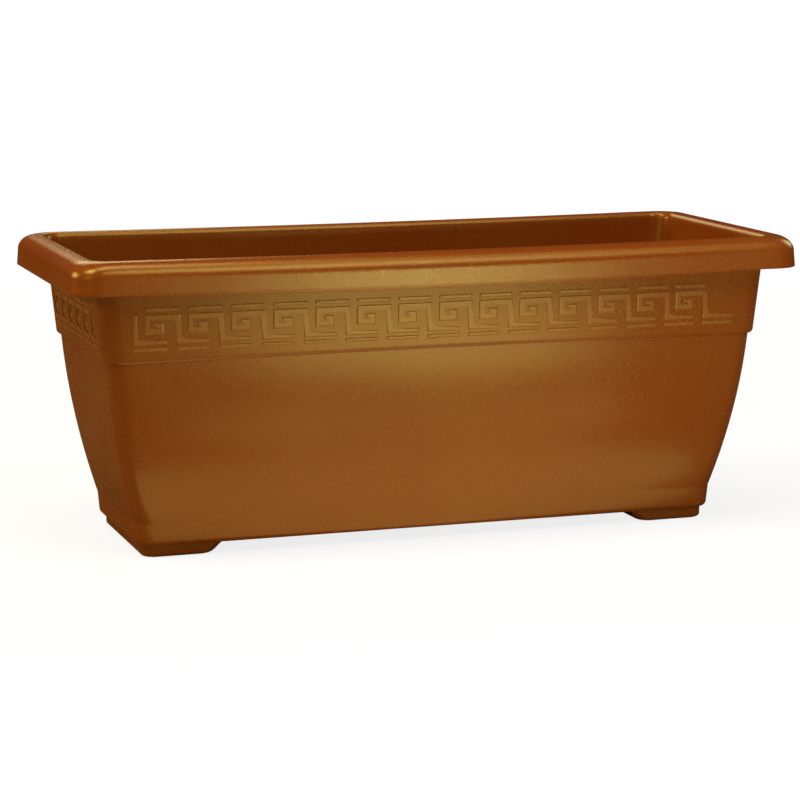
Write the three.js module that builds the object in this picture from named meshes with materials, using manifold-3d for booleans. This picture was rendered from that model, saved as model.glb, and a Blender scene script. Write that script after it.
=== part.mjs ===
// Window box planter: a moulded trough with a hollow rolled rim, a Greek key frieze and two shallow
// feet, a lift-out reservoir grid that stands on its floor and the bungs that close its drain holes.
// Millimetres, +Z up. The origin is the middle of the footprint, on the surface the feet stand on.
// The length runs along X and the long sides face -Y and +Y.
import * as THREE from 'three';
import { mergeVertices } from 'three/addons/utils/BufferGeometryUtils.js';
import Module from 'manifold-3d';

const wasm = await Module();
wasm.setup();

// Overall size, measured over the rim.
const rimLength = 600;
const rimWidth = 246;

// Heights of the trough's zones, stacked from the ground up.
const footHeight = 9.5;
const plinthHeight = 18;
const bodyHeight = 129.7;
const friezeStepHeight = 3.3;
const friezeHeight = 52.5;
const rimDepth = 25;

// One wall thickness all through the moulding.
const wall = 2;

// Rolled rim: an upright lip, a rounded shoulder and a narrow crest.
const lipHeight = 12.5;
const lipFlare = 0.8;
const shoulderWidth = 13.9;
const crestWidth = 17.3;
const crestFall = 0.2;
const mouthRadius = 6;
const rimCornerRadius = 22.4;
const crestCornerRadius = 18;

// Frieze band: how far it stands in from the rim, at the ends and along the sides.
const friezeInsetEnd = 23;
const friezeInsetSide = 19.8;
const friezeDraftEnd = 5;
const friezeDraftSide = 3.1;
const friezeCornerRadius = 15.6;
const friezeStepEnd = 3.4;
const friezeStepSide = 2.8;

// Body: it narrows towards the plinth along a curve that steepens on the way down.
const bodyTaperEnd = 23.5;
const bodyTaperSide = 20.5;
const bodyStraightShare = 0.41;
const bodyCornerRadius = 15;

// Plinth and feet.
const plinthDraft = 1;
const plinthEdgeRadius = 4.5;
const floorFilletRadius = 2.5;
const footInset = 5.5;
const footEdgeRadius = 3;
const footCornerRadius = 9;
const footLength = 54;
const footRun = 15;
const footBackOffset = 0.8;

// The long edges aren't quite straight: the rim hangs a little and the frieze's lower edge rises.
const crestSag = 1.2;
const lipSag = 3.6;
const friezeEdgeRise = 1.7;
const creaseRise = 1.4;
const sagSpan = 516;

// Greek key: raised lines, the same heights all round, with a shorter pitch on the ends.
const keyRelief = 1;
const keyRoot = 0.8;
const keyLine = 3;
const keyTopMargin = 12.2;
const keyRowGap = 2.3;
const keyPitchSide = 33.7;
const keyPitchEnd = 27.5;
const keyBlankShare = 0.172;
const keyHeight = 23.2;
const keySpiralHeight = 15.2;
const keyCurlDepth = 6.6;
const keyMarginSide = 9.5;
const keyMarginEnd = 6;
const keyShiftSide = -2;

// Drain holes and their bungs.
const drainRadius = 8;
const drainColumns = 3;
const drainSpacingX = 105;
const drainSpacingY = 64;
const bungClearance = 0.35;
const seatGap = 0.3;
const bungFlangeRadius = 12.5;
const bungFlange = 2;
const bungTaper = 0.7;
const bungWall = 1.6;
const bungTip = 3;
const tabWidth = 13;
const tabHeight = 10;
const tabThickness = 2.4;
const tabHoleRadius = 2.8;

// Reservoir grid: a slotted plate with a turned-down edge, on tapered legs.
const gridTop = 44;
const gridClearance = 2.8;
const gridPlate = 2.5;
const gridSkirt = 6;
const gridCornerRadius = 14;
const legTopRadius = 6.5;
const legFootRadius = 4;
const legSpacingY = 90;
const legInnerX = 60;
const legMiddleX = 150;
const legOuterX = 210;
const slotWidth = 4.5;
const slotPitch = 30;
const slotLength = 50;
const slotRowSpacing = 64;
const slotMargin = 5;

// Openings at both ends of the grid, to pour water through and to lift the grid by.
const fillerWidth = 26;
const fillerLength = 56;
const fillerRadius = 8;
const fillerEdge = 13.2;

// Smoothness of curves.
const cornerSteps = 6;
const longSteps = 6;
const bodySteps = 7;
const boreSteps = 16;

const halfLength = rimLength / 2;
const halfWidth = rimWidth / 2;
const plinthTop = footHeight + plinthHeight;
const creaseZ = plinthTop + bodyHeight;
const friezeBottom = creaseZ + friezeStepHeight;
const friezeTop = friezeBottom + friezeHeight;
const crestZ = friezeTop + rimDepth;
const floorZ = footHeight + wall;

const friezeSlopeEnd = friezeDraftEnd / friezeHeight;
const friezeSlopeSide = friezeDraftSide / friezeHeight;
const bodyInsetEnd = friezeInsetEnd + friezeDraftEnd + friezeStepEnd;
const bodyInsetSide = friezeInsetSide + friezeDraftSide + friezeStepSide;

// A level is one closed ring of the moulding: a rounded rectangle set in from the rim's outline.
function level(end, side, radius, z, sag = 0) {
  return { end, side, radius, z, sag };
}

function sagAt(x, sag) {
  const share = 1 - (2 * x / sagSpan) ** 2;
  return sag * Math.max(0, share);
}

function roundedRectangle(halfX, halfY, radius, longDivisions) {
  const points = [];
  const centres = [[1, 1], [-1, 1], [-1, -1], [1, -1]];
  centres.forEach(([signX, signY], corner) => {
    const centre = new THREE.Vector2(signX * (halfX - radius), signY * (halfY - radius));
    for (let step = 0; step <= cornerSteps; step += 1) {
      const angle = (corner + step / cornerSteps) * Math.PI / 2;
      const arm = new THREE.Vector2(Math.cos(angle), Math.sin(angle));
      points.push(arm.multiplyScalar(radius).add(centre));
    }
    if (corner % 2 === 0) {
      const start = points[points.length - 1];
      const finish = new THREE.Vector2(-start.x, start.y);
      for (let step = 1; step < longDivisions; step += 1) {
        points.push(start.clone().lerp(finish, step / longDivisions));
      }
    }
  });
  return points;
}

function levelRing({ end, side, radius, z, sag }) {
  const outline = roundedRectangle(halfLength - end, halfWidth - side, radius, longSteps);
  return outline.map((point) => new THREE.Vector3(point.x, point.y, z - sagAt(point.x, sag)));
}

// Joins a stack of rings into one closed skin, with the first and last ring closed by a fan.
function loft(rings) {
  const count = rings[0].length;
  const positions = [];
  const indices = [];
  rings.forEach((ring) => ring.forEach((point) => positions.push(point.x, point.y, point.z)));
  for (let row = 0; row + 1 < rings.length; row += 1) {
    for (let column = 0; column < count; column += 1) {
      const a = row * count + column;
      const b = row * count + (column + 1) % count;
      const c = b + count;
      const d = a + count;
      indices.push(a, b, c, a, c, d);
    }
  }
  [0, rings.length - 1].forEach((row) => {
    const middle = new THREE.Vector3();
    rings[row].forEach((point) => middle.add(point));
    middle.divideScalar(count);
    const hub = positions.length / 3;
    positions.push(middle.x, middle.y, middle.z);
    for (let column = 0; column < count; column += 1) {
      const a = row * count + column;
      const b = row * count + (column + 1) % count;
      if (row === 0) {
        indices.push(hub, b, a);
      } else {
        indices.push(hub, a, b);
      }
    }
  });
  const geometry = new THREE.BufferGeometry();
  geometry.setAttribute('position', new THREE.Float32BufferAttribute(positions, 3));
  geometry.setIndex(indices);
  return geometry;
}

function toSolid(geometry) {
  const bare = geometry.clone();
  bare.deleteAttribute('normal');
  bare.deleteAttribute('uv');
  const merged = mergeVertices(bare, 1e-4);
  const vertProperties = new Float32Array(merged.attributes.position.array);
  const triVerts = new Uint32Array(merged.index.array);
  return new wasm.Manifold(new wasm.Mesh({ numProp: 3, vertProperties, triVerts }));
}

function toGeometry(solid) {
  const mesh = solid.getMesh();
  const geometry = new THREE.BufferGeometry();
  const positions = new Float32Array(mesh.vertProperties);
  geometry.setAttribute('position', new THREE.BufferAttribute(positions, 3));
  geometry.setIndex(new THREE.BufferAttribute(new Uint32Array(mesh.triVerts), 1));
  return geometry;
}

function joinAll(first, others) {
  return others.reduce((sum, other) => sum.add(other), first);
}

function cutAll(first, others) {
  return others.reduce((rest, other) => rest.subtract(other), first);
}

// Share of the body's taper reached at a depth below the crease, from 0 at the top to 1 at the plinth.
function taperShare(depth) {
  return bodyStraightShare * depth + (1 - bodyStraightShare) * depth ** 2;
}

// Inset of the moulding's outer face at a height on the body or the plinth.
function outerInset(z) {
  const depth = THREE.MathUtils.clamp((creaseZ - z) / bodyHeight, 0, 1);
  const below = THREE.MathUtils.clamp((plinthTop - z) / plinthHeight, 0, 1);
  return {
    end: bodyInsetEnd + bodyTaperEnd * taperShare(depth) + plinthDraft * below,
    side: bodyInsetSide + bodyTaperSide * taperShare(depth) + plinthDraft * below,
  };
}

function rimCorner(inset) {
  return rimCornerRadius - (rimCornerRadius - crestCornerRadius) * inset / crestWidth;
}

function quarter(steps) {
  return Array.from({ length: steps + 1 }, (_, index) => index / steps * Math.PI / 2);
}

function bodyLevels(offset) {
  const levels = [];
  for (let step = 0; step <= bodySteps; step += 1) {
    const inset = outerInset(plinthTop + bodyHeight * step / bodySteps);
    const z = plinthTop + bodyHeight * step / bodySteps;
    const last = step === bodySteps;
    const sag = last ? -creaseRise : 0;
    const lift = last ? offset : 0;
    levels.push(level(inset.end + offset, inset.side + offset, bodyCornerRadius - offset, z + lift, sag));
  }
  return levels;
}

// Outer skin, from the middle of the underside up to the hollow of the rim.
function outerLevels() {
  const levels = [];
  const base = outerInset(footHeight);
  quarter(3).forEach((angle) => {
    const inset = plinthEdgeRadius * (1 - Math.sin(angle));
    const z = footHeight + plinthEdgeRadius * (1 - Math.cos(angle));
    levels.push(level(base.end + inset, base.side + inset, bodyCornerRadius - inset, z));
  });
  levels.push(...bodyLevels(0));
  quarter(3).slice(1).forEach((angle) => {
    const out = Math.sin(angle);
    const z = friezeBottom - friezeStepHeight * Math.cos(angle);
    const sag = -THREE.MathUtils.lerp(creaseRise, friezeEdgeRise, 1 - Math.cos(angle));
    const end = bodyInsetEnd - friezeStepEnd * out;
    const side = bodyInsetSide - friezeStepSide * out;
    levels.push(level(end, side, friezeCornerRadius, z, sag));
  });
  return levels;
}

// Inset of the frieze's outer face, which runs on straight up inside the rim.
function friezeInset(z) {
  return {
    end: friezeInsetEnd + friezeSlopeEnd * (friezeTop - z),
    side: friezeInsetSide + friezeSlopeSide * (friezeTop - z),
  };
}

// The rim: up inside its hollow, out under the crest, down the lip and back over the top to the mouth.
function rimLevels() {
  const levels = [];
  const mouthZ = crestZ - crestFall - mouthRadius;
  const neck = friezeInset(mouthZ);
  levels.push(level(neck.end, neck.side, friezeCornerRadius, mouthZ, crestSag));
  quarter(3).slice(1).forEach((angle) => {
    const end = THREE.MathUtils.lerp(neck.end, crestWidth, 1 - Math.cos(angle));
    const side = THREE.MathUtils.lerp(neck.side, crestWidth, 1 - Math.cos(angle));
    const z = mouthZ + (mouthRadius - wall) * Math.sin(angle);
    levels.push(level(end, side, friezeCornerRadius, z, crestSag));
  });
  const shoulderZ = friezeTop + lipHeight;
  const shoulderHeight = crestZ - shoulderZ;
  quarter(4).reverse().forEach((angle) => {
    const reach = (shoulderWidth - lipFlare - wall) * (1 - Math.cos(angle));
    const inset = lipFlare + wall + reach;
    const z = shoulderZ + (shoulderHeight - wall) * Math.sin(angle);
    const sag = THREE.MathUtils.lerp(lipSag, crestSag, 0.5 + 0.5 * Math.sin(angle));
    levels.push(level(inset, inset, rimCorner(inset) - 1.5 * Math.cos(angle), z, sag));
  });
  levels.push(level(wall, wall, rimCornerRadius - wall, friezeTop, lipSag));
  levels.push(level(0, 0, rimCornerRadius, friezeTop, lipSag));
  quarter(5).forEach((angle) => {
    const inset = lipFlare + (shoulderWidth - lipFlare) * (1 - Math.cos(angle));
    const z = shoulderZ + shoulderHeight * Math.sin(angle);
    const sag = THREE.MathUtils.lerp(lipSag, crestSag, 0.5 + 0.5 * Math.sin(angle));
    levels.push(level(inset, inset, rimCorner(inset), z, sag));
  });
  quarter(3).reverse().forEach((angle) => {
    const end = THREE.MathUtils.lerp(neck.end + wall, crestWidth, 1 - Math.cos(angle));
    const side = THREE.MathUtils.lerp(neck.side + wall, crestWidth, 1 - Math.cos(angle));
    const radius = THREE.MathUtils.lerp(friezeCornerRadius - wall, crestCornerRadius, 1 - Math.cos(angle));
    const z = mouthZ + mouthRadius * Math.sin(angle);
    levels.push(level(end, side, radius, z, crestSag));
  });
  return levels;
}

// Inner skin, from the mouth down to the middle of the floor.
function innerLevels() {
  const levels = [];
  quarter(2).reverse().slice(0, 2).forEach((angle) => {
    const inner = Math.max(friezeStepHeight - wall, 0.5);
    const z = friezeBottom + wall - inner * Math.cos(angle);
    const out = Math.sin(angle);
    const end = bodyInsetEnd + wall - friezeStepEnd * out;
    const side = bodyInsetSide + wall - friezeStepSide * out;
    levels.push(level(end, side, friezeCornerRadius - wall, z, -friezeEdgeRise));
  });
  levels.push(...bodyLevels(wall).reverse());
  const base = outerInset(floorZ);
  quarter(2).reverse().forEach((angle) => {
    const inset = wall + floorFilletRadius * (1 - Math.sin(angle));
    const z = floorZ + floorFilletRadius * (1 - Math.cos(angle));
    levels.push(level(base.end + inset, base.side + inset, bodyCornerRadius - inset, z));
  });
  return levels;
}

function troughShell() {
  const levels = [...outerLevels(), ...rimLevels(), ...innerLevels()];
  return toSolid(loft(levels.map(levelRing)));
}

// A foot pan, or the hollow inside it: a shallow tray whose inner end rises in an ogee.
function footPan(side, offset, topZ) {
  const base = outerInset(footHeight);
  const outerX = halfLength - base.end - footInset - offset;
  const halfY = halfWidth - base.side - footInset - offset;
  const innerX = halfLength - base.end - footInset - footLength + (offset > 0 ? footBackOffset : 0);
  const radius = footEdgeRadius - Math.min(offset, footEdgeRadius - 1);
  const rings = [];
  const ring = (run, z) => {
    const rise = Math.min(z, radius);
    const edge = radius - Math.sqrt(radius ** 2 - (radius - rise) ** 2);
    const low = innerX - footRun * run;
    const high = outerX - edge;
    const middle = side * (low + high) / 2;
    const outline = roundedRectangle((high - low) / 2, halfY - edge, footCornerRadius - offset, 1);
    rings.push(outline.map((point) => new THREE.Vector3(point.x + middle, point.y, z + offset)));
  };
  [0, 0.12, 0.25, 0.4, 0.6, 0.8, 1].forEach((run) => ring(run, footHeight * (3 - 2 * run) * run ** 2));
  rings.push(rings[rings.length - 1].map((point) => new THREE.Vector3(point.x, point.y, topZ)));
  return toSolid(loft(rings));
}

// The upright lines are a little thinner where the pitch is shorter.
function keyUpright(pitch) {
  return keyLine * Math.min(1, pitch / keyPitchSide + 0.06);
}

// Outline of one key motif: a hook that winds in to a small curl, with its tail under the next motif.
function spiralPoints(pitch) {
  const line = keyUpright(pitch);
  const width = pitch * (1 - keyBlankShare);
  const rise = keyLine;
  const bottom = 0;
  const top = keyHeight;
  const hookLow = top - keySpiralHeight;
  const curlTop = top - keyCurlDepth;
  const curlRight = width * 0.55;
  const curlLeft = width * 0.27;
  const tailEnd = width - line + pitch * 0.778;
  return [
    [0, hookLow],
    [curlRight, hookLow],
    [curlRight, curlTop],
    [curlLeft, curlTop],
    [curlLeft, curlTop - rise * 0.86],
    [curlRight - line, curlTop - rise * 0.86],
    [curlRight - line, hookLow + rise],
    [line, hookLow + rise],
    [line, top - rise],
    [width - line, top - rise],
    [width - line, bottom],
    [tailEnd, bottom],
    [tailEnd, bottom + rise],
    [width, bottom + rise],
    [width, top],
    [0, top],
  ];
}

function flatShape(points) {
  return new THREE.Shape(points.map(([x, y]) => new THREE.Vector2(x, y)));
}

function barShape(left, low, right, high) {
  return flatShape([[left, low], [right, low], [right, high], [left, high]]);
}

// The shapes of a whole frieze panel, centred on x = 0, with y measured down from the frieze's top.
function panelShapes(pitch, room) {
  const width = pitch * (1 - keyBlankShare);
  const line = keyUpright(pitch);
  const tail = pitch * 0.778;
  const motifs = Math.floor((room - tail) / pitch);
  const start = -(motifs * pitch + tail) / 2;
  const spiralTop = keyTopMargin + keyLine + keyRowGap;
  const tailLow = -(spiralTop + keyHeight);
  const first = start + pitch - width + line;
  const shapes = [];
  for (let motif = 0; motif < motifs; motif += 1) {
    const left = first + motif * pitch;
    shapes.push(flatShape(spiralPoints(pitch).map(([x, y]) => [x + left, y + tailLow])));
    shapes.push(barShape(left, -keyTopMargin - keyLine, left + width - line * 0.3, -keyTopMargin));
  }
  shapes.push(barShape(start, tailLow, start + tail, tailLow + keyLine));
  shapes.push(barShape(start, tailLow, start + line, -spiralTop));
  for (let bar = 0; bar <= motifs; bar += 1) {
    const left = start + bar * pitch;
    const high = tailLow - keyRowGap;
    shapes.push(barShape(left, high - keyLine, left + tail, high));
  }
  return shapes;
}

// Stands a panel's shapes on one face of the frieze: turned about Z, then leaned back with the draft.
function friezePanel(turn, pitch, room, shift, reach, inset, slope) {
  const lean = Math.atan(slope);
  const settings = { depth: keyRoot + keyRelief, bevelEnabled: false, curveSegments: 1 };
  return panelShapes(pitch, room).map((shape) => {
    const geometry = new THREE.ExtrudeGeometry(shape, settings);
    geometry.translate(shift, 0, -keyRoot);
    geometry.rotateX(Math.PI / 2 + lean);
    geometry.translate(0, -(reach - inset), friezeTop);
    geometry.rotateZ(turn);
    return toSolid(geometry);
  });
}

function greekKey() {
  const sideRoom = rimLength - 2 * (friezeInsetEnd + friezeDraftEnd / 2 + friezeCornerRadius);
  const endRoom = rimWidth - 2 * (friezeInsetSide + friezeDraftSide / 2 + friezeCornerRadius);
  const sideFace = [keyShiftSide, halfWidth, friezeInsetSide, friezeSlopeSide];
  const endFace = [0, halfLength, friezeInsetEnd, friezeSlopeEnd];
  const sidePanel = [keyPitchSide, sideRoom - 2 * keyMarginSide, ...sideFace];
  const endPanel = [keyPitchEnd, endRoom - 2 * keyMarginEnd, ...endFace];
  return [
    ...friezePanel(0, ...sidePanel),
    ...friezePanel(Math.PI, ...sidePanel),
    ...friezePanel(-Math.PI / 2, ...endPanel),
    ...friezePanel(Math.PI / 2, ...endPanel),
  ];
}

function drainCentres() {
  const centres = [];
  for (let column = 0; column < drainColumns; column += 1) {
    const x = (column - (drainColumns - 1) / 2) * drainSpacingX;
    centres.push([x, -drainSpacingY / 2], [x, drainSpacingY / 2]);
  }
  return centres;
}

function drainCutter(x, y) {
  const geometry = new THREE.CylinderGeometry(drainRadius, drainRadius, 3 * wall, boreSteps);
  geometry.rotateX(Math.PI / 2);
  geometry.translate(x, y, footHeight + wall / 2);
  return toSolid(geometry);
}

function makeTrough() {
  const overlap = wall / 2;
  const pans = [-1, 1].map((side) => footPan(side, 0, footHeight + overlap));
  const hollows = [-1, 1].map((side) => footPan(side, wall, floorZ + overlap));
  const drains = drainCentres().map(([x, y]) => drainCutter(x, y));
  const shell = joinAll(troughShell(), pans);
  const hollowed = cutAll(shell, [...hollows, ...drains]);
  return toGeometry(joinAll(hollowed, greekKey()));
}

// A drain bung: a flanged cup pushed into its hole from above, with a pierced tab to pull it by.
function makeBung() {
  const stemTop = drainRadius - bungClearance;
  const stemTip = stemTop - bungTaper;
  const flangeZ = seatGap;
  const topZ = flangeZ + bungFlange;
  const tipZ = -wall - bungTip;
  const profile = [
    [0, topZ],
    [bungFlangeRadius - bungFlange / 2, topZ],
    [bungFlangeRadius, topZ - bungFlange / 2],
    [bungFlangeRadius, flangeZ],
    [stemTop, flangeZ],
    [stemTip, tipZ],
    [stemTip - bungWall, tipZ],
    [stemTop - bungWall, flangeZ - bungWall],
    [0, flangeZ - bungWall],
  ].reverse();
  const points = profile.map(([radius, z]) => new THREE.Vector2(radius, z));
  const cup = new THREE.LatheGeometry(points, boreSteps);
  cup.rotateX(Math.PI / 2);
  const tab = new THREE.Shape();
  const tabArc = tabWidth / 2;
  tab.moveTo(-tabWidth / 2, -bungFlange / 2);
  tab.lineTo(tabWidth / 2, -bungFlange / 2);
  tab.lineTo(tabWidth / 2, tabHeight - tabArc);
  tab.absarc(0, tabHeight - tabArc, tabArc, 0, Math.PI, false);
  const eye = new THREE.Path();
  eye.absarc(0, tabHeight - tabArc, tabHoleRadius, 0, Math.PI * 2, true);
  tab.holes.push(eye);
  const settings = { depth: tabThickness, bevelEnabled: false, curveSegments: 3 };
  const fin = new THREE.ExtrudeGeometry(tab, settings);
  fin.translate(0, 0, -tabThickness / 2);
  fin.rotateX(Math.PI / 2);
  fin.translate(0, 0, topZ);
  return toGeometry(toSolid(cup).add(toSolid(fin)));
}

function slotPath(x, y) {
  const radius = slotWidth / 2;
  const reach = slotLength / 2 - radius;
  const path = new THREE.Path();
  path.absarc(x, y + reach, radius, 0, Math.PI, false);
  path.absarc(x, y - reach, radius, Math.PI, Math.PI * 2, false);
  path.closePath();
  return path;
}

function gridOutline(inset) {
  const low = outerInset(gridTop - gridSkirt);
  const halfX = halfLength - low.end - wall - gridClearance - inset;
  const halfY = halfWidth - low.side - wall - gridClearance - inset;
  return { halfX, halfY, radius: gridCornerRadius - inset };
}

function gridLeg(x, y, footZ) {
  const height = gridTop - gridPlate / 2 - footZ;
  const geometry = new THREE.CylinderGeometry(legTopRadius, legFootRadius, height, 12);
  geometry.rotateX(Math.PI / 2);
  geometry.translate(x, y, footZ + height / 2);
  return toSolid(geometry);
}

function plateShape({ halfX, halfY, radius }) {
  return new THREE.Shape(roundedRectangle(halfX, halfY, radius, 1));
}

function fillerPath(x) {
  const outline = roundedRectangle(fillerWidth / 2, fillerLength / 2, fillerRadius, 1);
  return new THREE.Path(outline.map((point) => new THREE.Vector2(point.x + x, point.y)));
}

// The reservoir grid, a false floor that keeps the soil above the stored water.
function makeGrid() {
  const outline = gridOutline(0);
  const plate = plateShape(outline);
  const slotReach = outline.halfX - fillerEdge - fillerWidth - slotMargin - slotWidth / 2;
  const columns = Math.floor(slotReach / slotPitch + 0.5);
  for (let column = 0; column < columns; column += 1) {
    const x = (column + 0.5) * slotPitch;
    [-x, x].forEach((slotX) => {
      plate.holes.push(slotPath(slotX, slotRowSpacing / 2), slotPath(slotX, -slotRowSpacing / 2));
    });
  }
  const fillerX = outline.halfX - fillerEdge - fillerWidth / 2;
  plate.holes.push(fillerPath(-fillerX), fillerPath(fillerX));
  const skirt = plateShape(outline);
  skirt.holes.push(plateShape(gridOutline(wall)));
  const plateSettings = { depth: gridPlate, bevelEnabled: false, curveSegments: 2 };
  const skirtSettings = { depth: gridSkirt - gridPlate / 2, bevelEnabled: false };
  const plateGeometry = new THREE.ExtrudeGeometry(plate, plateSettings);
  plateGeometry.translate(0, 0, gridTop - gridPlate);
  const skirtGeometry = new THREE.ExtrudeGeometry(skirt, skirtSettings);
  skirtGeometry.translate(0, 0, gridTop - gridSkirt);
  const legs = [];
  [-1, 1].forEach((sideX) => [-1, 1].forEach((sideY) => {
    const y = sideY * legSpacingY / 2;
    legs.push(gridLeg(sideX * legInnerX, y, floorZ + seatGap));
    legs.push(gridLeg(sideX * legMiddleX, y, floorZ + seatGap));
    legs.push(gridLeg(sideX * legOuterX, y, wall + seatGap));
  }));
  return toGeometry(joinAll(toSolid(plateGeometry), [toSolid(skirtGeometry), ...legs]));
}

const bronze = new THREE.MeshStandardMaterial({ color: 0x8a5420, roughness: 0.45, metalness: 0 });
const darkBrown = new THREE.MeshStandardMaterial({ color: 0x4a2a12, roughness: 0.55, metalness: 0 });
const black = new THREE.MeshStandardMaterial({ color: 0x1c1a18, roughness: 0.6, metalness: 0 });

function addMesh(parent, name, geometry, material, position = [0, 0, 0]) {
  const shaded = geometry.toNonIndexed();
  shaded.computeVertexNormals();
  const mesh = new THREE.Mesh(shaded, material);
  mesh.name = name;
  mesh.position.set(...position);
  parent.add(mesh);
  return mesh;
}

const planter = new THREE.Group();
planter.name = 'window_box_planter';
addMesh(planter, 'trough', makeTrough(), bronze);
addMesh(planter, 'reservoir_grid', makeGrid(), black);

const bungGeometry = makeBung();
drainCentres().forEach(([x, y], index) => {
  addMesh(planter, `drain_bung_${index + 1}`, bungGeometry, darkBrown, [x, y, floorZ]);
});

export default planter;
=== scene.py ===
"""Finished surfaces of a moulded window box planter.

The trough, its Greek key, the reservoir grid and the drain bungs are built in the places of the
solid model's pieces, and ride on its bodies. All lengths are metres, +Z is up, the length of the
trough runs along X and its front long side faces -Y.
"""

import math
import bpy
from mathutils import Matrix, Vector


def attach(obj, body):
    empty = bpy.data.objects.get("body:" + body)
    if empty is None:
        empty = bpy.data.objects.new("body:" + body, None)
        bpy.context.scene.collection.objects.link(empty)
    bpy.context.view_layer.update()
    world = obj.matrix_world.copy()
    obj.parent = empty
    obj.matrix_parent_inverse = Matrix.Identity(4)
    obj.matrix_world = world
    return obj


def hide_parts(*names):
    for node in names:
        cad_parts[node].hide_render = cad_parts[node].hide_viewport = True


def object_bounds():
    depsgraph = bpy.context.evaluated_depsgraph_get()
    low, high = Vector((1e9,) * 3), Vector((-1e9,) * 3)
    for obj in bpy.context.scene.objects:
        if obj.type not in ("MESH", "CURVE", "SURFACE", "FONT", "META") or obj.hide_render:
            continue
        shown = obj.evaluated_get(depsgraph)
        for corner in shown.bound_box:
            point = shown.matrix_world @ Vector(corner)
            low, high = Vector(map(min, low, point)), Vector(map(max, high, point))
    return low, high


bl_info = {
    "name": "Window Box Planter",
    "version": (1, 0, 0),
    "blender": (4, 5, 0),
    "location": "3D View > Sidebar > Planter",
    "description": "Builds the finished surfaces of a moulded window box planter",
    "category": "Add Mesh",
}

from typing import NamedTuple

import bmesh
import bpy
from bpy.props import FloatProperty, FloatVectorProperty, IntProperty, PointerProperty
from mathutils import Matrix, Vector

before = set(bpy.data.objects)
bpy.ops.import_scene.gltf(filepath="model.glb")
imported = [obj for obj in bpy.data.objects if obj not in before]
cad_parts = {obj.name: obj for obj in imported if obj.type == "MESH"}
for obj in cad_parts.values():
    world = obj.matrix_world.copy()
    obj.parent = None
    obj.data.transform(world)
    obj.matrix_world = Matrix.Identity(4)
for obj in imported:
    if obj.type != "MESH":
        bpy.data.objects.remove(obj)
CAD_LOW, CAD_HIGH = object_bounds()


# ---------------------------------------------------------------------------------------------
# Sizes and colours that a user would change


def length(name, description, default):
    return FloatProperty(
        name=name, description=description, default=default, unit="LENGTH", precision=4
    )


def share(name, description, default):
    return FloatProperty(
        name=name, description=description, default=default, subtype="FACTOR", min=0.0, max=1.0
    )


def colour(name, description, default):
    return FloatVectorProperty(
        name=name,
        description=description,
        default=default,
        subtype="COLOR",
        size=3,
        min=0.0,
        max=1.0,
    )


def angle(name, description, degrees):
    return FloatProperty(
        name=name, description=description, default=math.radians(degrees), subtype="ANGLE"
    )


def number(name, description, default):
    return FloatProperty(name=name, description=description, default=default)


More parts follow.
